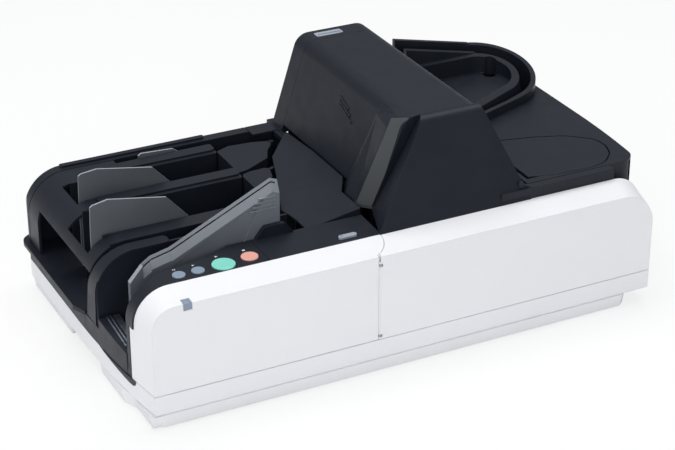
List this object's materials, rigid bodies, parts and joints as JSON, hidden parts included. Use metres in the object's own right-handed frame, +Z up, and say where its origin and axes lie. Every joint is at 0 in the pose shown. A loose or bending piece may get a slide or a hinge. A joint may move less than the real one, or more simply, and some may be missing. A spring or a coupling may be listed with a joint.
{
  "type": "cheque scanner",
  "caption": "Desktop cheque scanner with a white front door, black hinged hood, edge feed hopper, turning track and rear sorting pockets.",
  "frame": {"origin": "middle of the footprint, on the floor", "axes": "+X to the right along the front, +Y to the rear, +Z up"},
  "size_m": [0.5996, 0.336, 0.237],
  "materials": {
    "white_shell": "fine grain moulded white",
    "black_shell": "fine grain moulded charcoal",
    "light_gray": "smooth moulded grey",
    "smoke_gray": "smoke grey, light edges",
    "gray_strip": "painted grey",
    "light_key": "moulded",
    "small_key": "moulded",
    "mint_key": "moulded",
    "salmon_key": "moulded",
    "indicator": "translucent insert",
    "rubber": "matte",
    "steel_sheet": "zinc plated sheet",
    "bright_steel": "ground",
    "board": "solder mask",
    "sensor_glass": "glass faced sensor bar"
  },
  "bodies": {
    "root": {"base_tray": "white_shell", "rubber_feet": "rubber", "chassis_plate": "steel_sheet", "plate_screws": "bright_steel", "front_cover": "white_shell", "status_window": "indicator", "hopper_tub": "black_shell", "hopper_rails": "bright_steel", "hopper_wall": "black_shell", "operator_panel": "black_shell", "button_board": "board", "feed_panel": "black_shell", "pocket_housing": "black_shell", "stacker_floor": "black_shell", "rear_cover": "black_shell", "guide_wings": "black_shell", "transport_bed": "black_shell", "transport_cover": "black_shell", "magnetic_head": "bright_steel", "image_sensors": "sensor_glass", "entry_cover": "black_shell", "hood_rear_strip": "black_shell", "hood_brackets": "steel_sheet", "hinge_pins": "bright_steel", "door_bracket": "steel_sheet", "right_deck": "black_shell", "turn_wall": "black_shell", "turn_island": "black_shell", "rear_panel": "black_shell", "power_inlet": "black_shell", "data_port": "bright_steel", "switch_frame": "black_shell", "main_motor": "steel_sheet", "main_board": "board", "power_supply": "steel_sheet"},
    "front_door": {"front_door": "white_shell", "door_fascia": "black_shell"},
    "hood": {"hood_cover": "black_shell", "hood_fin": "black_shell", "hood_facet": "gray_strip"},
    "oval_lid": {"oval_lid": "black_shell"},
    "pusher": {"pusher_plate": "light_gray"},
    "jog_button": {"jog_button": "small_key"},
    "forward_button": {"forward_button": "small_key"},
    "start_button": {"start_button": "mint_key"},
    "stop_button": {"stop_button": "salmon_key"},
    "deck_tab": {"deck_tab": "light_key"},
    "hood_latch": {"hood_latch": "light_key"},
    "power_rocker": {"power_rocker": "black_shell"},
    "pocket_plate_1": {"pocket_plate_1": "smoke_gray"},
    "pocket_plate_2": {"pocket_plate_2": "smoke_gray"},
    "pocket_plate_3": {"pocket_plate_3": "smoke_gray"},
    "sorter_gate_1": {"sorter_gate_1": "black_shell"},
    "sorter_gate_2": {"sorter_gate_2": "black_shell"},
    "feed_roller": {"feed_roller": "rubber"},
    "separation_roller": {"separation_roller": "rubber"},
    "drive_roller_1": {"drive_roller_1": "rubber"},
    "pinch_roller_1": {"pinch_roller_1": "rubber"},
    "drive_roller_2": {"drive_roller_2": "rubber"},
    "pinch_roller_2": {"pinch_roller_2": "rubber"}
  },
  "joints": [
    {"name": "door_swing", "type": "hinge", "parent": "root", "child": "front_door", "pos_m": [-0.03735, -0.1658, 0.08], "axis": [0, 0, -1], "range_deg": [0, 95]},
    {"name": "hood_lift", "type": "hinge", "parent": "root", "child": "hood", "pos_m": [0.15825, 0.032, 0.155], "axis": [0, 1, 0], "range_deg": [0, 60]},
    {"name": "lid_lift", "type": "hinge", "parent": "root", "child": "oval_lid", "pos_m": [0.17025, -0.062, 0.1435], "axis": [0, -1, 0], "range_deg": [0, 55]},
    {"name": "pusher_slide", "type": "slide", "parent": "root", "child": "pusher", "axis": [0, 1, 0], "range_m": [0, 0.012]},
    {"name": "jog_press", "type": "slide", "parent": "root", "child": "jog_button", "axis": [0, 0, -1], "range_m": [0, 0.0015], "stiffness_N_per_m": 300, "springref_m": -0.001},
    {"name": "forward_press", "type": "slide", "parent": "root", "child": "forward_button", "axis": [0, 0, -1], "range_m": [0, 0.0015], "stiffness_N_per_m": 300, "springref_m": -0.001},
    {"name": "start_press", "type": "slide", "parent": "root", "child": "start_button", "axis": [0, 0, -1], "range_m": [0, 0.0015], "stiffness_N_per_m": 300, "springref_m": -0.001},
    {"name": "stop_press", "type": "slide", "parent": "root", "child": "stop_button", "axis": [0, 0, -1], "range_m": [0, 0.0015], "stiffness_N_per_m": 300, "springref_m": -0.001},
    {"name": "deck_tab_press", "type": "slide", "parent": "root", "child": "deck_tab", "axis": [0, 0, -1], "range_m": [0, 0.0015], "stiffness_N_per_m": 300, "springref_m": -0.001},
    {"name": "hood_latch_press", "type": "slide", "parent": "root", "child": "hood_latch", "axis": [0, 0, -1], "range_m": [0, 0.0012], "stiffness_N_per_m": 300, "springref_m": -0.001},
    {"name": "power_rock", "type": "hinge", "parent": "root", "child": "power_rocker", "pos_m": [0.11525, 0.163, 0.0735], "axis": [1, 0, 0], "range_deg": [-8, 0]},
    {"name": "pocket_plate_1_slide", "type": "slide", "parent": "root", "child": "pocket_plate_1", "axis": [0, 1, 0], "range_m": [0, 0.046]},
    {"name": "pocket_plate_2_slide", "type": "slide", "parent": "root", "child": "pocket_plate_2", "axis": [0, 1, 0], "range_m": [0, 0.034]},
    {"name": "pocket_plate_3_slide", "type": "slide", "parent": "root", "child": "pocket_plate_3", "axis": [0, 1, 0], "range_m": [0, 0.004]},
    {"name": "sorter_gate_1_turn", "type": "hinge", "parent": "root", "child": "sorter_gate_1", "pos_m": [-0.01775, 0.128, 0.09], "axis": [0, 0, 1], "range_deg": [-8, 8]},
    {"name": "sorter_gate_2_turn", "type": "hinge", "parent": "root", "child": "sorter_gate_2", "pos_m": [-0.03975, 0.068, 0.09], "axis": [0, 0, 1], "range_deg": [-8, 8]},
    {"name": "feed_roller_spin", "type": "hinge", "parent": "root", "child": "feed_roller", "pos_m": [-0.11475, -0.0944, 0.095], "axis": [0, 0, 1], "continuous": true},
    {"name": "separation_roller_spin", "type": "hinge", "parent": "root", "child": "separation_roller", "pos_m": [-0.06037, -0.06476, 0.095], "axis": [0, 0, 1], "continuous": true},
    {"name": "drive_roller_1_spin", "type": "hinge", "parent": "root", "child": "drive_roller_1", "pos_m": [-0.01437, -0.04783, 0.095], "axis": [0, 0, 1], "continuous": true},
    {"name": "pinch_roller_1_spin", "type": "hinge", "parent": "root", "child": "pinch_roller_1", "pos_m": [-0.02027, -0.03179, 0.095], "axis": [0, 0, 1], "continuous": true},
    {"name": "drive_roller_2_spin", "type": "hinge", "parent": "root", "child": "drive_roller_2", "pos_m": [0.11163, -0.00147, 0.095], "axis": [0, 0, 1], "continuous": true},
    {"name": "pinch_roller_2_spin", "type": "hinge", "parent": "root", "child": "pinch_roller_2", "pos_m": [0.10573, 0.01457, 0.095], "axis": [0, 0, 1], "continuous": true}
  ],
  "couplings": [
    {"joint": "drive_roller_2_spin", "follows": "drive_roller_1_spin", "ratio": 1},
    {"joint": "pinch_roller_1_spin", "follows": "drive_roller_1_spin", "ratio": -1.3846},
    {"joint": "pinch_roller_2_spin", "follows": "drive_roller_1_spin", "ratio": -1.3846},
    {"joint": "feed_roller_spin", "follows": "drive_roller_1_spin", "ratio": 1}
  ]
}
